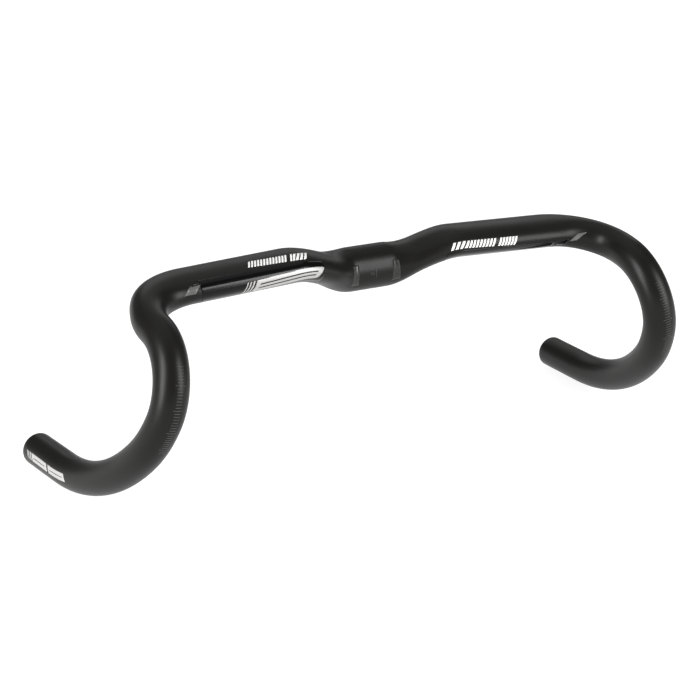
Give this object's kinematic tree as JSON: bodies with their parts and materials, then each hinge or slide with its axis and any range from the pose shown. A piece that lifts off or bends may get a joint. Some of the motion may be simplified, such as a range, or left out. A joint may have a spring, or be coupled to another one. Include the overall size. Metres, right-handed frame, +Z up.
{
  "type": "drop handlebar",
  "caption": "Hollow alloy drop handlebar with a round stem clamp zone, flattened tops and short drops that flare outwards.",
  "frame": {"origin": "centre of the stem clamp zone, on the tube's axis", "axes": "+X to the rider's right along the clamp zone's axis, +Y forward in the riding direction, +Z up"},
  "size_m": [0.4668, 0.1827, 0.1598],
  "materials": {
    "tube": "satin black anodised, fine grained",
    "gloss_film": "gloss black transfer film",
    "silver_film": "satin silver transfer film",
    "white_ink": "flat white print",
    "grey_ink": "faint grey print"
  },
  "bodies": {
    "root": {"clamp_section": "tube", "right_shoulder": "tube", "right_wing": "tube", "right_corner": "tube", "right_hook": "tube", "right_lower_bend": "tube", "right_drop_end": "tube", "left_shoulder": "tube", "left_wing": "tube", "left_corner": "tube", "left_hook": "tube", "left_lower_bend": "tube", "left_drop_end": "tube", "right_wing_stripe": "gloss_film", "left_wing_stripe": "gloss_film", "right_stripe_tip": "gloss_film", "left_stripe_tip": "gloss_film", "right_name_strip": "white_ink", "left_name_strip": "white_ink", "wing_badge": "silver_film", "drop_end_badge": "silver_film", "right_clamp_scale": "grey_ink", "left_clamp_scale": "grey_ink", "right_hook_scale": "grey_ink", "left_hook_scale": "grey_ink", "centre_mark": "white_ink"}
  },
  "joints": []
}
